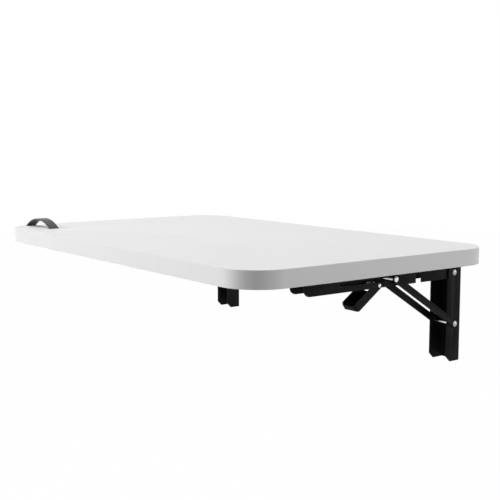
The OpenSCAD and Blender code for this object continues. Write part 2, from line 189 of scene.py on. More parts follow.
class Recipe:
    """The nodes of one material or world, added in the order that they are named."""

    def __init__(self, tree: bpy.types.NodeTree) -> None:
        """Starts with an empty tree.

        Args:
            tree: The node tree to fill.
        """
        self.tree = tree
        tree.nodes.clear()

    def node(
        self,
        kind: str,
        settings: dict[str, Any] | None = None,
        inputs: dict[str | int, Any] | None = None,
        output: str | int = 0,
    ) -> Signal:
        """Adds a node, makes its settings, then fills its sockets.

        Args:
            kind: The node's type without its ShaderNode start.
            settings: Properties by name.
            inputs: Values or signals by socket name or number.
            output: The output socket that is wanted.

        Returns:
            The signal of that output.
        """
        node = self.tree.nodes.new("ShaderNode" + kind)
        for name, value in (settings or {}).items():
            setattr(node, name, value)
        for name, value in (inputs or {}).items():
            if isinstance(value, Signal):
                self.tree.links.new(value.socket, node.inputs[name])
            else:
                node.inputs[name].default_value = value
        return Signal(self, node.outputs[output])

    def place(self) -> Signal:
        """The point on the piece, in metres from the piece's own origin."""
        return self.node("TexCoord", output="Object")

    def noise(self, place: Signal, grain: float, detail: float = 2.0) -> Signal:
        """Soft noise whose blotches are about as wide as the grain.

        Args:
            place: The point.
            grain: Width of a blotch in metres.
            detail: How many finer layers lie in it.

        Returns:
            The noise, about 0.5.
        """
        inputs = {"Vector": place, "Scale": 1.0 / grain, "Detail": detail}
        return self.node("TexNoise", None, inputs)

    def cells(self, place: Signal, grain: float, feature: str) -> Signal:
        """Cells such as those of leather.

        Args:
            place: The point.
            grain: Width of a cell in metres.
            feature: The Voronoi node's feature.

        Returns:
            The distance in the cell.
        """
        return self.node(
            "TexVoronoi", {"feature": feature}, {"Vector": place, "Scale": 1.0 / grain}, "Distance"
        )

    def part(self, vector: Signal, axis: str) -> Signal:
        """One part of a vector, by its axis letter."""
        return self.node("SeparateXYZ", None, {0: vector}, axis)

    def stretched(self, place: Signal, scale: Point) -> Signal:
        """The point with each of its parts multiplied, which stretches what is drawn there."""
        return self.node("VectorMath", {"operation": "MULTIPLY"}, {0: place, 1: scale})

    def blend(self, share: Signal, first: Colour | Signal, second: Colour | Signal) -> Signal:
        """A colour between two.

        Args:
            share: 0 for the first colour and 1 for the second.
            first: The colour at 0.
            second: The colour at 1.

        Returns:
            The mixed colour.
        """
        low, high = (end if isinstance(end, Signal) else (*end, 1.0) for end in (first, second))
        inputs = {MIX_SHARE: share, MIX_FIRST: low, MIX_SECOND: high}
        return self.node("Mix", {"data_type": "RGBA"}, inputs, MIX_RESULT)

    def bump(self, height: Signal, depth: float, under: Signal | None = None) -> Signal:
        """A normal that follows a height.

        Args:
            height: The height, from 0 to 1.
            depth: What a height of 1 measures, in metres.
            under: A coarser normal that this one lies on.

        Returns:
            The normal.
        """
        inputs: dict[str | int, Any] = {"Distance": depth, "Height": height}
        if under is not None:
            inputs["Normal"] = under
        return self.node("Bump", None, inputs)

    def end(self, kind: str, shader: Signal) -> None:
        """Joins a shader to the tree's output.

        Args:
            kind: Material or World.
            shader: The shader that the tree ends in.
        """
        node = self.tree.nodes.new("ShaderNodeOutput" + kind)
        self.tree.links.new(shader.socket, node.inputs["Surface"])


def shaded(colour: Colour, share: float) -> Colour:
    """A colour made darker or paler by a share of itself."""
    red, green, blue = colour
    return share * red, share * green, share * blue


@dataclass(frozen=True)
class Finish(ABC):
    """A finish: its colour and gloss, and the fine detail that its own class adds."""

    name: str
    colour: Colour
    roughness: float
    metallic: float = 0.0
    specular: float = 0.5
    sheen: float = 0.0
    gloss_change: float = 0.1

    @abstractmethod
    def detail(self, recipe: Recipe) -> dict[str, Any]:
        """Adds the finish's fine detail to its material.

        Args:
            recipe: The material's recipe.

        Returns:
            The sockets that vary over the surface, by name.
        """

    def uneven(self, noise: Signal) -> Signal:
        """The roughness, raised and lowered by a noise."""
        return self.roughness + (noise - 0.5) * self.gloss_change

    def material(self) -> bpy.types.Material:
        """The finish as a material, made once."""
        return _made(self)


@lru_cache(maxsize=None)
def _made(finish: Finish) -> bpy.types.Material:
    """Builds a finish's material.

    Args:
        finish: The finish to build.

    Returns:
        The material.
    """
    material = bpy.data.materials.new(finish.name)
    material.use_nodes = True
    material.diffuse_color = (*finish.colour, 1.0)
    recipe = Recipe(material.node_tree)
    inputs: dict[str | int, Any] = {
        "Base Color": (*finish.colour, 1.0),
        "Roughness": finish.roughness,
        "Metallic": finish.metallic,
        "Specular IOR Level": finish.specular,
        "Sheen Weight": finish.sheen,
    }
    inputs.update(finish.detail(recipe))
    recipe.end("Material", recipe.node("BsdfPrincipled", None, inputs))
    return material


@dataclass(frozen=True)
class PearlLaminate(Finish):
    """White laminate with the fine pearl grain of desk tops."""

    gloss_change: float = 0.12
    pearl: float = 0.0011
    pearl_layers: float = 3.0
    pearl_depth: float = 0.000012
    cloud: float = 0.12
    cloud_share: float = 0.6
    shade_span: Span = (0.3, 0.7)
    darkest: float = 0.975

    def detail(self, recipe: Recipe) -> dict[str, Any]:
        """Pearl grain, with a faint cloudiness that stops the white from looking flat.

        Args:
            recipe: The material's recipe.

        Returns:
            The sockets that vary over the surface, by name.
        """
        place = recipe.place()
        pearl = recipe.noise(place, self.pearl, self.pearl_layers)
        cloud = recipe.noise(place, self.cloud)
        mixed = cloud * self.cloud_share + pearl * (1.0 - self.cloud_share)
        darker = shaded(self.colour, self.darkest)
        return {
            "Base Color": recipe.blend(mixed.step(*self.shade_span), darker, self.colour),
            "Roughness": self.uneven(pearl),
            "Normal": recipe.bump(pearl, self.pearl_depth),
        }


@dataclass(frozen=True)
class EdgeTape(Finish):
    """Smooth edge tape: faint ripples along the board and a glue line by each laminate."""

    top: float = 0.124
    under: float = 0.1
    glue: float = 0.0001
    glue_shade: float = 0.96
    ripple: float = 0.006
    ripple_depth: float = 0.00003
    ripple_stretch: Point = (1.0, 1.0, 0.2)

    def detail(self, recipe: Recipe) -> dict[str, Any]:
        """Ripples of the pressing roller, and the two glue lines.

        Args:
            recipe: The material's recipe.

        Returns:
            The sockets that vary over the surface, by name.
        """
        place = recipe.place()
        height = recipe.part(place, "Z")
        ripple = recipe.noise(recipe.stretched(place, self.ripple_stretch), self.ripple)
        upper = (height - (self.top - self.glue)).step(0.0, self.glue)
        lower = ((self.under + self.glue) - height).step(0.0, self.glue)
        glued = shaded(self.colour, self.glue_shade)
        return {
            "Base Color": recipe.blend(upper + lower, self.colour, glued),
            "Roughness": self.uneven(ripple),
            "Normal": recipe.bump(ripple, self.ripple_depth),
        }


@dataclass(frozen=True)
class FibreCore(Finish):
    """Pressed wood fibre, hidden by the laminates and the edge tape."""

    fibre: float = 0.0012
    fibre_layers: float = 4.0
    fibre_depth: float = 0.00006
    fibre_stretch: Point = (1.0, 1.0, 3.0)
    fibre_span: Span = (0.35, 0.65)
    palest: float = 1.25

    def detail(self, recipe: Recipe) -> dict[str, Any]:
        """Short fibres, lying flat.

        Args:
            recipe: The material's recipe.

        Returns:
            The sockets that vary over the surface, by name.
        """
        place = recipe.stretched(recipe.place(), self.fibre_stretch)
        fibres = recipe.noise(place, self.fibre, self.fibre_layers)
        pale = shaded(self.colour, self.palest)
        return {
            "Base Color": recipe.blend(fibres.step(*self.fibre_span), self.colour, pale),
            "Normal": recipe.bump(fibres, self.fibre_depth),
        }


@dataclass(frozen=True)
class PowderCoat(Finish):
    """Satin black powder coat with a fine orange peel and a few paler handling marks."""

    peel: float = 0.0014
    peel_depth: float = 0.00004
    peel_share: float = 0.8
    speck: float = 0.0004
    rub: float = 0.018
    rub_layers: float = 5.0
    rub_span: Span = (0.52, 0.74)
    rub_strength: float = 0.7
    rub_dulls: float = 0.07
    rubbed: Colour = (0.02, 0.02, 0.0205)

    def detail(self, recipe: Recipe) -> dict[str, Any]:
        """Orange peel, with rubbing where parts are handled.

        Args:
            recipe: The material's recipe.

        Returns:
            The sockets that vary over the surface, by name.
        """
        place = recipe.place()
        peel = recipe.noise(place, self.peel, 1.0)
        speck = recipe.noise(place, self.speck, 1.0)
        rub = recipe.noise(place, self.rub, self.rub_layers).step(*self.rub_span)
        relief = peel * self.peel_share + speck * (1.0 - self.peel_share)
        return {
            "Base Color": recipe.blend(rub * self.rub_strength, self.colour, self.rubbed),
            "Roughness": self.uneven(speck) + rub * self.rub_dulls,
            "Normal": recipe.bump(relief, self.peel_depth),
        }


@dataclass(frozen=True)
class TurnedMetal(Finish):
    """Bright plated metal with the fine rings of turning round its own X axis."""

    gloss_change: float = 0.16
    ring: float = 0.00035
    ring_depth: float = 0.000004
    ring_dulls: float = 0.04
    cloud: float = 0.003
    cloud_layers: float = 3.0
    cloud_span: Span = (0.35, 0.75)
    dull: Colour = (0.5, 0.5, 0.5)

    def detail(self, recipe: Recipe) -> dict[str, Any]:
        """Turning rings, and the clouding of the plate.

        Args:
            recipe: The material's recipe.

        Returns:
            The sockets that vary over the surface, by name.
        """
        place = recipe.place()
        across = (recipe.part(place, "Y") ** 2.0 + recipe.part(place, "Z") ** 2.0) ** 0.5
        rings = (across * (math.tau / self.ring)).wave()
        cloud = recipe.noise(place, self.cloud, self.cloud_layers)
        return {
            "Base Color": recipe.blend(cloud.step(*self.cloud_span), self.colour, self.dull),
            "Roughness": self.uneven(cloud) + rings * self.ring_dulls,
            "Normal": recipe.bump(rings, self.ring_depth),
        }


@dataclass(frozen=True)
class PivotMetal(TurnedMetal):
    """Plated metal of a pivot rivet: its shank is bright, and its heads are dulled by hammering."""

    head_from: float = 0.01935
    head_over: float = 0.0001
    head_colour: Colour = (0.4, 0.4, 0.41)
    head_dulls: float = 0.12
    dent: float = 0.0016
    dent_depth: float = 0.00006
    dent_span: Span = (0.4, 0.7)
    dent_shade: float = 0.6

    def detail(self, recipe: Recipe) -> dict[str, Any]:
        """Dull heads, past the channel's width, on top of the rings and the clouding.

        Args:
            recipe: The material's recipe.

        Returns:
            The sockets that vary over the surface, by name.
        """
        sockets = super().detail(recipe)
        place = recipe.place()
        out = (recipe.part(place, "X") ** 2.0) ** 0.5
        head = out.step(self.head_from, self.head_from + self.head_over)
        dents = recipe.noise(place, self.dent)
        hammered = shaded(self.head_colour, self.dent_shade)
        struck = recipe.blend(dents.step(*self.dent_span), self.head_colour, hammered)
        return {
            "Base Color": recipe.blend(head, sockets["Base Color"], struck),
            "Roughness": sockets["Roughness"] + head * self.head_dulls,
            "Normal": recipe.bump(dents * head, self.dent_depth, sockets["Normal"]),
        }


@dataclass(frozen=True)
class DrawnWire(Finish):
    """Oiled spring wire with long die lines."""

    gloss_change: float = 0.15
    line: float = 0.0008
    line_depth: float = 0.000008
    line_stretch: Point = (4.0, 1.0, 1.0)
    oil: float = 0.004
    oil_layers: float = 3.0
    oil_span: Span = (0.4, 0.7)
    oil_shade: float = 0.45

    def detail(self, recipe: Recipe) -> dict[str, Any]:
        """Long faint lines and darker oil in the turns.

        Args:
            recipe: The material's recipe.

        Returns:
            The sockets that vary over the surface, by name.
        """
        place = recipe.place()
        lines = recipe.noise(recipe.stretched(place, self.line_stretch), self.line)
        oil = recipe.noise(place, self.oil, self.oil_layers).step(*self.oil_span)
        return {
            "Base Color": recipe.blend(oil, self.colour, shaded(self.colour, self.oil_shade)),
            "Roughness": self.uneven(lines),
            "Normal": recipe.bump(lines, self.line_depth),
        }


@dataclass(frozen=True)
class StrapLeather(Finish):
    """Black leather: a fine pebble grain with pores, worn a little paler on its bumps."""

    pebble: float = 0.0013
    pebble_rise: float = 0.35
    pebble_depth: float = 0.00009
    valley_dulls: float = 0.2
    pore: float = 0.00035
    pore_depth: float = 0.00002
    wear: float = 0.01
    wear_span: Span = (0.4, 0.75)
    worn: Colour = (0.02, 0.02, 0.0215)

    def detail(self, recipe: Recipe) -> dict[str, Any]:
        """Pebbles, pores and wear.

        Args:
            recipe: The material's recipe.

        Returns:
            The sockets that vary over the surface, by name.
        """
        place = recipe.place()
        cells = recipe.cells(place, self.pebble, "DISTANCE_TO_EDGE")
        pebbles = cells.step(0.0, self.pebble_rise)
        pores = recipe.noise(place, self.pore)
        wear = pebbles * recipe.noise(place, self.wear).step(*self.wear_span)
        coarse = recipe.bump(pebbles, self.pebble_depth)
        return {
            "Base Color": recipe.blend(wear, self.colour, self.worn),
            "Roughness": self.uneven(pores) + (1.0 - pebbles) * self.valley_dulls,
            "Normal": recipe.bump(pores, self.pore_depth, coarse),
        }


PLATE: Colour = (0.76, 0.77, 0.78)
DULL_PLATE: Colour = (0.62, 0.63, 0.65)
SCREW_PLATE: Colour = (0.66, 0.66, 0.67)
WHITE_TOP = PearlLaminate("white_laminate", (0.86, 0.86, 0.855), 0.5, specular=0.3)
WHITE_TAPE = EdgeTape("edge_tape", (0.86, 0.86, 0.855), 0.45, specular=0.3)
BOARD_CORE = FibreCore("fibre_core", (0.42, 0.30, 0.19), 0.85, specular=0.2)
BLACK_STEEL = PowderCoat("black_powder_coat", (0.0125, 0.0125, 0.0129), 0.42, specular=0.042)
ZINC = TurnedMetal("zinc_plate", PLATE, 0.28, metallic=1.0, dull=DULL_PLATE)
PIVOT_ZINC = PivotMetal("pivot_zinc", PLATE, 0.28, metallic=1.0, dull=DULL_PLATE)
SCREW_ZINC = TurnedMetal("screw_zinc", SCREW_PLATE, 0.34, metallic=1.0, dull=(0.5, 0.5, 0.51))
SPRING_WIRE = DrawnWire("spring_wire", (0.52, 0.52, 0.53), 0.36, metallic=1.0)
STRAP = StrapLeather("strap_leather", (0.012, 0.012, 0.0128), 0.34, specular=0.45, sheen=0.2)


def mesh_object(name: str, mesh: bmesh.types.BMesh, crease_deg: float = 32.0) -> bpy.types.Object:
    """Turns a bmesh into a smooth-shaded object, with sharp edges where it turns a corner.

    Args:
        name: The piece's name.
        mesh: The shape, which is used up.
        crease_deg: The turn in degrees from which an edge stays sharp.

    Returns:
        The object, in the scene.
    """
    data = bpy.data.meshes.new(name)
    mesh.to_mesh(data)
    mesh.free()
    data.shade_smooth()
    data.set_sharp_from_angle(angle=math.radians(crease_deg))
    piece = bpy.data.objects.new(name, data)
    bpy.context.scene.collection.objects.link(piece)
    return piece


def add_skin(
    mesh: bmesh.types.BMesh, rings: Sequence[Sequence[Vector]], looped: bool = False
) -> None:
    """Adds a closed surface over a row of rings; a ring whose points coincide makes a tip.

    Args:
        mesh: The mesh that it is added to.
        rings: Rings with the same number of points each.
        looped: True if the last ring joins the first, and False if both ends are capped.
    """
    rows = [[mesh.verts.new(point) for point in ring] for ring in rings]
    follows = rows[1:] + rows[:1] if looped else rows[1:]
    faces = []
    for low, high in zip(rows, follows):
        for i, start in enumerate(low):
            j = (i + 1) % len(low)
            faces.append(mesh.faces.new((start, low[j], high[j], high[i])))
    if not looped:
        faces.append(mesh.faces.new(rows[0][::-1]))
        faces.append(mesh.faces.new(rows[-1]))
    points = [point for row in rows for point in row]
    bmesh.ops.remove_doubles(mesh, verts=points, dist=SAME_POINT)
    bmesh.ops.recalc_face_normals(mesh, faces=mesh.faces)


def turned(profile: Sequence[Spot], sides: int = 48) -> list[list[Vector]]:
    """Rings for a shape turned round the X axis.

    Args:
        profile: Points of its half section, as (place along X, radius).
        sides: Points in each ring.

    Returns:
        The rings.
    """
    turns = [math.tau * i / sides for i in range(sides)]
    return [[Vector((x, r * math.cos(t), r * math.sin(t))) for t in turns] for x, r in profile]


def arc(centre: Spot, radius: float, start_deg: float, end_deg: float, steps: int) -> list[Spot]:
    """Points on an arc in a plane.

    Args:
        centre: The arc's centre.
        radius: Its radius.
        start_deg: Angle of the first point.
        end_deg: Angle of the last point.
        steps: How many straight steps it has.

    Returns:
        The points.
    """
    angles = [math.radians(start_deg + (end_deg - start_deg) * i / steps) for i in range(steps + 1)]
    return [(centre[0] + radius * math.cos(a), centre[1] + radius * math.sin(a)) for a in angles]


def tube_rings(path: Sequence[Vector], radius: float, sides: int = 12) -> list[list[Vector]]:
    """Rings for a round wire along a path, carried along it without twist.

    Args:
        path: Points of the wire's centreline.
        radius: The wire's radius.
        sides: Points in each ring.

    Returns:
        The rings.
    """
    rings = []
    up: Vector | None = None
    for i, point in enumerate(path):
        along = (path[min(i + 1, len(path) - 1)] - path[max(i - 1, 0)]).normalized()
        up = along.orthogonal() if up is None else up - up.dot(along) * along
        up.normalize()
        side = along.cross(up)
        turns = [math.tau * k / sides for k in range(sides)]
        rings.append([point + radius * (math.cos(t) * up + math.sin(t) * side) for t in turns])
    return rings


def finish_piece(
    piece: bpy.types.Object, finish: Finish, slot: str, body: str, *nodes: str
) -> bpy.types.Object:
    """Dresses a new piece, makes it ride on its body and lets it stand for its solids.

    Args:
        piece: The piece.
        finish: Its finish.
        slot: The record's material slot that the finish belongs to. It is not used.
        body: The body that it moves with.
        *nodes: The solids that it stands for.

    Returns:
        The same piece.
    """
    piece.data.materials.clear()
    piece.data.materials.append(finish.material())
    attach(piece, body)
    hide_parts(*nodes)
    LOG.info("%s rides on %s in %s", piece.name, body, finish.name)
    return piece


def dress_node(node: bpy.types.Object, finish: Finish) -> None:
    """Gives a solid that stays in view its finish.

    Args:
        node: The solid's object.
        finish: Its finish.
    """
    node.data.materials.clear()
    node.data.materials.append(finish.material())
    LOG.info("%s keeps its solid in %s", node.name, finish.name)


@dataclass
class SoftSolid:
    """A solid's own shape with softened edges, such as powder coat gives a steel pressing."""

    node: str
    body: str
    finish: Finish = BLACK_STEEL
    slot: str = "black_steel"
    edge_radius: float = 0.00035
    segments: int = 2
    corner_deg: float = 40.0
    crease_deg: float = 32.0
    flat_deg: float = 0.4
    weld: float = 1e-6

    def softens(self, edge: bmesh.types.BMEdge) -> bool:
        """Tells whether an edge is to be softened: a true corner between two faces."""
        return edge.is_manifold and edge.calc_face_angle() > math.radians(self.corner_deg)

    def build(self, nodes: dict[str, bpy.types.Object]) -> bpy.types.Object:
        """Makes the softened piece.

        Args:
            nodes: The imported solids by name.

        Returns:
            The piece, dressed and riding.
        """
        mesh = bmesh.new()
        mesh.from_mesh(nodes[self.node].data)
        bmesh.ops.remove_doubles(mesh, verts=mesh.verts, dist=self.weld)
        flat = math.radians(self.flat_deg)
        bmesh.ops.dissolve_limit(mesh, angle_limit=flat, verts=mesh.verts, edges=mesh.edges)
        bmesh.ops.bevel(
            mesh,
            geom=[edge for edge in mesh.edges if self.softens(edge)],
            offset=self.edge_radius,
            offset_type="OFFSET",
            segments=self.segments,
            profile=0.5,
            affect="EDGES",
            clamp_overlap=True,
        )
        bmesh.ops.dissolve_degenerate(mesh, dist=SAME_POINT, edges=mesh.edges)
        piece = mesh_object(self.node + "_soft", mesh, self.crease_deg)
        return finish_piece(piece, self.finish, self.slot, self.body, self.node)


@dataclass
class Sheet(SoftSolid):
    """A laminate sheet, softened only round the face that shows."""

    body: str = "table"
    finish: Finish = WHITE_TOP
    slot: str = "white_laminate"
    segments: int = 4
    crease_deg: float = 10.0
    shown_at: float = 0.125
    tolerance: float = 1e-5

    def softens(self, edge: bmesh.types.BMEdge) -> bool:
        """Tells whether an edge is a corner of the face that shows."""
        shown = all(abs(point.co.z - self.shown_at) < self.tolerance for point in edge.verts)
        return shown and super().softens(edge)


@dataclass
class Board:
    """The laminated board: core, two softened sheets, and the edge tape between them."""

    width: float = 0.8
    depth: float = 0.49
    wall_gap: float = 0.003
    under: float = 0.099
    top: float = 0.125
    corner_radius: float = 0.061
    sheet: float = 0.001
    tape: float = 0.0012
    nick: float = 0.00006
    tape_crease_deg: float = 20.0
    corner_steps: int = 28

    def outline(self, inset: float, height: float) -> list[Vector]:
        """The board's outline at a height.

        Args:
            inset: How far inside the edge it runs.
            height: Its height.

        Returns:
            Its points, counter-clockwise.
        """
        radius = self.corner_radius - inset
        across = self.width / 2 - self.corner_radius
        along = self.depth / 2 - self.corner_radius
        middle = -self.wall_gap - self.depth / 2
        centres = (
            (across, along, 0),
            (-across, along, 90),
            (-across, -along, 180),
            (across, -along, 270),
        )
        points = []
        for x, y, start in centres:
            for px, py in arc((x, middle + y), radius, start, start + 90, self.corner_steps):
                points.append(Vector((px, py, height)))
        return points

    def edge_tape(self) -> bpy.types.Object:
        """Makes the tape: a flat strip round the core, nicked where it meets the sheets.

        Returns:
            The piece.
        """
        low, high, nick = self.under + self.sheet, self.top - self.sheet, self.nick
        section = [
            (nick, low),
            (0.0, low + nick),
            (0.0, high - nick),
            (nick, high),
            (self.tape, high),
            (self.tape, low),
        ]
        mesh = bmesh.new()
        add_skin(mesh, [self.outline(inset, height) for inset, height in section], looped=True)
        return mesh_object("edge_tape", mesh, self.tape_crease_deg)

    def build(self, nodes: dict[str, bpy.types.Object]) -> None:
        """Dresses the sheets and the core, and puts the tape round them.

        Args:
            nodes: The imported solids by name.
        """
        dress_node(nodes["board_core"], BOARD_CORE)
        Sheet("top_laminate", shown_at=self.top).build(nodes)
        Sheet("bottom_laminate", shown_at=self.under).build(nodes)
        finish_piece(self.edge_tape(), WHITE_TAPE, "edge_band", "table", "edge_band")


@dataclass
class StrapHandle:
    """The leather strap that arches over the board, with its feet let into slots."""

    length: float = 0.094
    rise: float = 0.017
    width: float = 0.02
    thickness: float = 0.003
    sink: float = 0.0045
    end_gap: float = 0.0115
    front_gap: float = 0.042
    turn_deg: float = 5.0
    edge_round: float = 0.0011
    crease_in: float = 0.0024
    crease_lip: float = 0.0005
    crease_depth: float = 0.00028
    edge_steps: int = 4
    steps: int = 72

    def section(self) -> list[Spot]:
        """The strap's section, with rounded edges and a crease by each of them on top.

        Returns:
            Its points, as (across, outward).
        """
        half, thick, soft = self.width / 2, self.thickness / 2, self.edge_round
        crease, lip, floor = half - self.crease_in, self.crease_lip, thick - self.crease_depth
        right = [
            (crease + lip, thick),
            (crease + lip / 3, floor),
            (crease - lip / 3, floor),
            (crease - lip, thick),
        ]
        left = [(-across, out) for across, out in reversed(right)]
        return [
            *arc((half - soft, -thick + soft), soft, -90, 0, self.edge_steps),
            *arc((half - soft, thick - soft), soft, 0, 90, self.edge_steps),
            *right,
            *left,
            *arc((-half + soft, thick - soft), soft, 90, 180, self.edge_steps),
            *arc((-half + soft, -thick + soft), soft, 180, 270, self.edge_steps),
        ]

    def build(self, board: Board) -> bpy.types.Object:
        """Makes the strap on the board.

        Args:
            board: The board that it is let into.

        Returns:
            The piece, dressed and riding.
        """
        outer = (self.length**2 / 4 + self.rise**2) / (2 * self.rise)
        middle = outer - self.thickness / 2
        reach = math.acos((outer - self.rise - self.sink) / outer)
        section = self.section()
        rings = []
        for i in range(self.steps + 1):
            angle = -reach + 2 * reach * i / self.steps
            out = Vector((math.sin(angle), 0.0, math.cos(angle)))
            rings.append([out * (middle + v) + Vector((0.0, u, 0.0)) for u, v in section])
        mesh = bmesh.new()
        add_skin(mesh, rings)
        piece = mesh_object("strap_handle_leather", mesh)
        piece.rotation_euler = (0.0, 0.0, math.radians(self.turn_deg))
        piece.location = (
            self.end_gap + self.length / 2 - board.width / 2,
            self.front_gap + self.width / 2 - board.wall_gap - board.depth,
            board.top + self.rise - outer,
        )
        return finish_piece(piece, STRAP, "strap", "table", "strap_handle")


@dataclass
class Rivet:
    """A rivet along X: a shank, and at each end a head or a plain chamfered end."""

    shank: float
    length: float
    head: float = 0.00475
    head_height: float = 0.002
    ends: tuple[HeadStyle | None, HeadStyle | None] = (HeadStyle.ROLLED, HeadStyle.DOMED)
    chamfer: float = 0.0003
    edge: float = 0.0003
    # The point above the rounded rim of a head, as (height, distance in from the rim).
    rim_at: Spot = (0.00018, 0.00005)
    cap_from: float = 0.00021
    cap_steps: int = 8
    hollow_share: float = 0.55
    lip_share: float = 1.25
    # The hole in a rolled head, as (depth under its lip, share of its radius).
    hollow: tuple[Spot, ...] = ((0.0, 1.0), (0.0004, 0.86), (0.0011, 0.8), (0.0012, 0.0))

    def _end(self, style: HeadStyle | None) -> list[Spot]:
        """Half section of one end.

        Args:
            style: The head's style, or None for a plain end.

        Returns:
            Points as (distance outward from the shank's end, radius), from the shank to the axis.
        """
        if style is None:
            return [(-self.chamfer, self.shank), (0.0, self.shank - self.chamfer), (0.0, 0.0)]
        dome = (self.head**2 + self.head_height**2) / (2 * self.head_height)
        reach = math.degrees(math.asin(self.head / dome))
        cap = arc((self.head_height - dome, 0.0), dome, reach, 0, self.cap_steps)
        cap = [(x, r) for x, r in cap if x > self.cap_from]
        if style is HeadStyle.ROLLED:
            hole = self.shank * self.hollow_share
            outer = [(x, r) for x, r in cap if r > hole * self.lip_share]
            lip = outer[-1][0]
            cap = [*outer, *((lip - deep, hole * share) for deep, share in self.hollow)]
        lift, inset = self.rim_at
        rim = [(0.0, self.shank), (0.0, self.head - self.edge), (lift, self.head - inset)]
        return [*rim, *cap]

    def profile(self) -> list[Spot]:
        """The whole half section, from the -X tip to the +X tip.

        Returns:
            Its points, as (place along X, radius).
        """
        low = [(-self.length / 2 - x, r) for x, r in self._end(self.ends[0])]
        high = [(self.length / 2 + x, r) for x, r in self._end(self.ends[1])]
        return [*low[::-1], *high]

    def build(self, name: str, at: Vector) -> bpy.types.Object:
        """Makes the rivet with its origin on its axis, so that its turning rings centre there.

        Args:
            name: The piece's name.
            at: Where its middle is.

        Returns:
            The piece, not yet dressed.
        """
        mesh = bmesh.new()
        add_skin(mesh, turned(self.profile()))
        piece = mesh_object(name, mesh)
        piece.location = at
        return piece


@dataclass
class WoodScrew:
    """A pan head wood screw with a cross recess, pointing up into the board."""

    head: float = 0.0045
    head_height: float = 0.0022
    shank: float = 0.002
    length: float = 0.018
    recess: float = 0.0026
    recess_half: float = 0.00052
    recess_depth: float = 0.0013
    recess_wall: float = 0.00018
    recess_end: float = 0.0009
    dome_drop: float = 0.45
    dome_power: int = 6
    rim: float = 0.0002
    thread_share: float = 0.72
    sides: int = 64
    rows: int = 18

    def _cut(self, x: float, y: float) -> float:
        """Depth of the cross recess at a point of the head.

        Args:
            x: The point's place along one slot, from the axis.
            y: Its place along the other.

        Returns:
            The depth.
        """
        slots = []
        for along, across in ((abs(x), abs(y)), (abs(y), abs(x))):
            wall = min(1.0, max(0.0, (self.recess_half - across) / self.recess_wall + 0.5))
            end = min(1.0, max(0.0, (self.recess - along) / self.recess_end))
            slots.append(wall * end)
        return self.recess_depth * max(slots)

    def add(self, mesh: bmesh.types.BMesh, seat: Vector) -> None:
        """Adds the screw to a mesh.

        Args:
            mesh: The mesh.
            seat: The middle of the head's seat.
        """
        rings = []
        for i in range(self.rows + 1):
            radius = self.head * math.sin(math.pi / 2 * i / self.rows)
            fall = self.dome_drop * (radius / self.head) ** self.dome_power
            dome = self.head_height * (1 - fall)
            rings.append(self._ring(radius, lambda x, y, d=dome: -(d - self._cut(x, y)), seat))
        for radius, height in (
            (self.head, -self.rim),
            (self.head - self.rim, 0.0),
            (self.shank, 0.0),
            (self.shank, self.length * self.thread_share),
            (0.0, self.length),
        ):
            rings.append(self._ring(radius, lambda x, y, h=height: h, seat))
        add_skin(mesh, rings)

    def _ring(
        self, radius: float, height: Callable[[float, float], float], seat: Vector
    ) -> list[Vector]:
        """One ring of the screw, whose height may vary round it.

        Args:
            radius: The ring's radius.
            height: Gives its height over the seat at a place (x, y) across the screw.
            seat: The middle of the head's seat.

        Returns:
            The ring's points.
        """
        turns = [math.tau * k / self.sides for k in range(self.sides)]
        flat = [(radius * math.cos(t), radius * math.sin(t)) for t in turns]
        return [seat + Vector((x, y, height(x, y))) for x, y in flat]


@dataclass
class TorsionSpring:
    """The spring round a release lever's rivet, as one unbroken wire."""

    wire: float = 0.0005
    radius: float = 0.00315
    turns: int = 6
    pitch: float = 0.0018
    tail_leg: float = 0.011
    finger_leg: float = 0.016
    finger_slope_deg: float = 34.5
    leg_dip_deg: float = 4.0
    crease_deg: float = 60.0
    steps_per_turn: int = 28

    def path(self) -> list[Vector]:
        """The wire's centreline, from the leg under the tail to the leg on the web.

        Returns:
            Its points, about the middle of the rivet.
        """
        slope = self.finger_slope_deg + self.leg_dip_deg
        turns = self.turns - slope / 360
        start = -self.turns * self.pitch / 2
        steps = round(turns * self.steps_per_turn)
        coil = []
        for i in range(steps + 1):
            turned_by = turns * i / steps
            angle = math.radians(-90 - 360 * turned_by)
            across, up = self.radius * math.cos(angle), self.radius * math.sin(angle)
            coil.append(Vector((start + self.pitch * turned_by, across, up)))
        tail = Vector((start, self.tail_leg, -self.radius))
        lean = math.radians(slope)
        tip = coil[-1] + self.finger_leg * Vector((0.0, -math.cos(lean), -math.sin(lean)))
        return [tail, *coil, tip]

    def build(self, name: str, at: Vector) -> bpy.types.Object:
        """Makes the spring.

        Args:
            name: The piece's name.
            at: The middle of the lever's rivet.

        Returns:
            The piece, not yet dressed.
        """
        mesh = bmesh.new()
        add_skin(mesh, tube_rings(self.path(), self.wire))
        piece = mesh_object(name, mesh, self.crease_deg)
        piece.location = at
        return piece


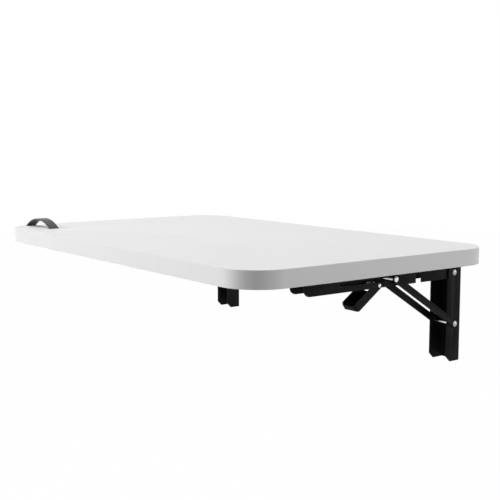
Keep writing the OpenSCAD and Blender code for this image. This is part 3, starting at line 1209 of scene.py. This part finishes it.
@dataclass
class Bracket:
    """One folding bracket: channel, arm, strut bars, lever, and everything that joins them."""

    side: Side
    pitch: float = 0.6232
    under: float = Board.under
    channel_width: float = 0.0388
    arm_width: float = 0.0334
    arm_sheet: float = 0.002
    bar: float = 0.003
    bar_in: float = 0.0197
    top_shank: float = 0.0035
    strut_shank: float = 0.003
    pin: float = 0.0025
    lever_shank: float = 0.002
    lever_head: float = 0.00325
    lever_head_height: float = 0.0015
    top_pivot: Spot = (-0.0175, 0.0766)
    strut_pivot: Spot = (-0.0175, -0.0092)
    pin_home: Spot = (-0.157, 0.0783)
    lever_pivot: Spot = (-0.1875, 0.0706)
    screw_places: tuple[float, ...] = (0.062, 0.128, 0.214, 0.318)

    def _at(self, place: Spot, shift: float = 0.0) -> Vector:
        """A point of the side view in the bracket's middle plane, or off it by a shift."""
        return Vector((self.side.value * self.pitch / 2 + shift, *place))

    def pressings(self) -> list[SoftSolid]:
        """The bracket's sheet steel parts and the bodies that they move with.

        Returns:
            The parts, not yet made.
        """
        word = self.side.word
        return [
            SoftSolid(f"wall_channel_{word}", "wall"),
            SoftSolid(f"arm_{word}", "table"),
            SoftSolid(f"strut_{word}", f"strut_{word}"),
            SoftSolid(f"release_lever_{word}", f"release_lever_{word}"),
        ]

    def rivets(self) -> None:
        """Makes the four kinds of rivet and the lock pin."""
        channel, bars = self.channel_width, 2 * (self.bar_in + self.bar)
        head, height = self.lever_head, self.lever_head_height
        lever = Rivet(self.lever_shank, self.arm_width, head=head, head_height=height)
        pin = Rivet(self.pin, channel, ends=(None, None))
        top, low = Rivet(self.top_shank, channel), Rivet(self.strut_shank, bars)
        self._join("top_pivot_rivet", top, self.top_pivot, "wall", PIVOT_ZINC)
        self._join("strut_pivot_rivet", low, self.strut_pivot, "wall", PIVOT_ZINC)
        self._join("lever_rivet", lever, self.lever_pivot, "table", ZINC)
        self._join("lock_pin", pin, self.pin_home, f"lock_pin_{self.side.word}", ZINC)
        self._strut_rivets()

    def _join(self, name: str, rivet: Rivet, place: Spot, body: str, finish: Finish) -> None:
        """Makes a rivet or pin through the bracket, for the node of the same name.

        Args:
            name: The node's name without its side.
            rivet: The rivet's sizes.
            place: Its axis in the side view.
            body: The body that it moves with.
            finish: Its finish.
        """
        node = f"{name}_{self.side.word}"
        piece = rivet.build(f"{node}_turned", self._at(place))
        finish_piece(piece, finish, "zinc_steel", body, node)

    def _strut_rivets(self) -> None:
        """Makes the pair of stub rivets outside the strut bars, as one piece."""
        word = self.side.word
        mesh = bmesh.new()
        for end in (1, -1):
            ends = (None, HeadStyle.DOMED) if end == 1 else (HeadStyle.DOMED, None)
            stub = Rivet(self.pin, self.bar, ends=ends)
            middle = Vector((end * (self.bar_in + self.bar / 2), 0.0, 0.0))
            rings = [[middle + point for point in ring] for ring in turned(stub.profile())]
            add_skin(mesh, rings)
        piece = mesh_object(f"strut_rivets_{word}_turned", mesh)
        piece.location = self._at(self.pin_home)
        finish_piece(piece, ZINC, "zinc_steel", f"strut_{word}", f"strut_rivets_{word}")

    def screws(self) -> None:
        """Makes the four screws that hold the arm to the board, as one piece."""
        word = self.side.word
        mesh = bmesh.new()
        seat_height = self.under - self.arm_sheet
        for out in self.screw_places:
            WoodScrew().add(mesh, self._at((-out, seat_height)))
        piece = mesh_object(f"board_screws_{word}_pan_head", mesh)
        finish_piece(piece, SCREW_ZINC, "screw_steel", "table", f"board_screws_{word}")

    def build(self, nodes: dict[str, bpy.types.Object]) -> None:
        """Makes and dresses the whole bracket.

        Args:
            nodes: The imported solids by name.
        """
        word = self.side.word
        for pressing in self.pressings():
            pressing.build(nodes)
        self.rivets()
        self.screws()
        spring = TorsionSpring().build(f"lever_spring_{word}_wound", self._at(self.lever_pivot))
        finish_piece(
            spring, SPRING_WIRE, "spring_steel", f"release_lever_{word}", f"lever_spring_{word}"
        )


@dataclass(frozen=True)
class Lamp:
    """A soft square lamp, aimed at the object's middle."""

    name: str
    towards: Point
    distance: float
    size: float
    level: float

    def build(self, middle: Vector) -> None:
        """Hangs the lamp.

        Args:
            middle: The point that it is aimed at.
        """
        data = bpy.data.lights.new(self.name, "AREA")
        data.shape = "SQUARE"
        data.size = self.size
        # A white surface that faces the lamp from the middle is then as bright as its level.
        data.energy = self.level * (math.pi * self.distance) ** 2
        lamp = bpy.data.objects.new(self.name, data)
        direction = Vector(self.towards).normalized()
        lamp.location = middle + direction * self.distance
        lamp.rotation_euler = direction.to_track_quat("Z", "Y").to_euler()
        bpy.context.scene.collection.objects.link(lamp)


@dataclass
class Studio:
    """The pale floor, the soft lamps, the surroundings and the camera."""

    floor_height: float = -0.72
    floor_radius: float = 9.0
    floor_sides: int = 96
    floor_shade: float = 0.6
    floor_white: float = 0.99
    ambient: float = 0.05
    lamps: tuple[Lamp, ...] = (
        Lamp("left_lamp", (-0.6, -0.65, 0.5), 8.0, 3.9, 0.85),
        Lamp("low_lamp", (-0.35, -0.85, -0.35), 2.2, 1.0, 0.22),
        Lamp("right_lamp", (0.78, 0.55, 0.3), 4.5, 2.0, 0.345),
        Lamp("top_lamp", (-0.1, -0.1, 1.0), 4.0, 2.2, 0.36),
    )
    camera_at: Point = (1.32452, -1.18598, 0.29308)
    azimuth_deg: float = 53.087
    elevation_deg: float = 6.834
    lens: float = 66.0
    sensor: float = 36.0

    def camera(self) -> bpy.types.Object:
        """Sets up the photograph's camera.

        Returns:
            The camera.
        """
        data = bpy.data.cameras.new("camera")
        data.lens = self.lens
        data.sensor_width = self.sensor
        camera = bpy.data.objects.new("camera", data)
        turn, tilt = math.radians(self.azimuth_deg), math.radians(self.elevation_deg)
        level = math.cos(tilt)
        ahead = Vector((-math.sin(turn) * level, math.cos(turn) * level, -math.sin(tilt)))
        camera.location = self.camera_at
        camera.rotation_euler = ahead.to_track_quat("-Z", "Y").to_euler()
        bpy.context.scene.collection.objects.link(camera)
        bpy.context.scene.camera = camera
        return camera

    def _seen(self, recipe: Recipe) -> Signal:
        """Tells what is looked at from what only lights the object.

        Args:
            recipe: The recipe that it is for.

        Returns:
            1 for what is seen straight, mirrored or through glass, and 0 for soft light.
        """
        straight = recipe.node("LightPath", output="Is Camera Ray")
        mirrored = recipe.node("LightPath", output="Is Glossy Ray")
        through = recipe.node("LightPath", output="Is Transmission Ray")
        return straight.larger(mirrored).larger(through)

    def surroundings(self) -> None:
        """Makes the world: white to look at, and a low even light."""
        world = bpy.data.worlds.new("surroundings")
        world.use_nodes = True
        bpy.context.scene.world = world
        recipe = Recipe(world.node_tree)
        seen = self._seen(recipe)
        even = recipe.node("Background", None, {"Color": WHITE_LIGHT, "Strength": self.ambient})
        white = recipe.node("Background", None, {"Color": WHITE_LIGHT, "Strength": 1.0})
        recipe.end("World", recipe.node("MixShader", None, {0: seen, 1: even, 2: white}))

    def floor(self) -> None:
        """Lays the pale floor below the table."""
        mesh = bmesh.new()
        bmesh.ops.create_circle(
            mesh, cap_ends=True, segments=self.floor_sides, radius=self.floor_radius
        )
        floor = mesh_object("floor", mesh)
        floor.location = (0.0, 0.0, self.floor_height)
        material = bpy.data.materials.new("floor")
        material.use_nodes = True
        recipe = Recipe(material.node_tree)
        shade = self.floor_shade
        lit = recipe.node("BsdfDiffuse", None, {"Color": (shade, shade, shade, 1.0)})
        white = recipe.node("Emission", None, {"Color": WHITE_LIGHT, "Strength": 1.0})
        share = self._seen(recipe) * self.floor_white
        recipe.end("Material", recipe.node("MixShader", None, {0: share, 1: lit, 2: white}))
        floor.data.materials.append(material)
        floor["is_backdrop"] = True

    def build(self, middle: Vector) -> None:
        """Sets the whole studio up.

        Args:
            middle: The object's middle.
        """
        self.camera()
        self.surroundings()
        self.floor()
        for lamp in self.lamps:
            lamp.build(middle)
        bpy.context.scene.view_settings.view_transform = "Standard"


def main() -> None:
    """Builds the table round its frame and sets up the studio."""
    logging.basicConfig(level=logging.INFO, format="%(message)s")
    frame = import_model()
    solid_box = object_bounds()
    nodes = frame["nodes"]
    board = Board()
    board.build(nodes)
    StrapHandle().build(board)
    for side in Side:
        Bracket(side).build(nodes)
    Studio().build((solid_box[0] + solid_box[1]) / 2)


if __name__ == "__main__":
    main()
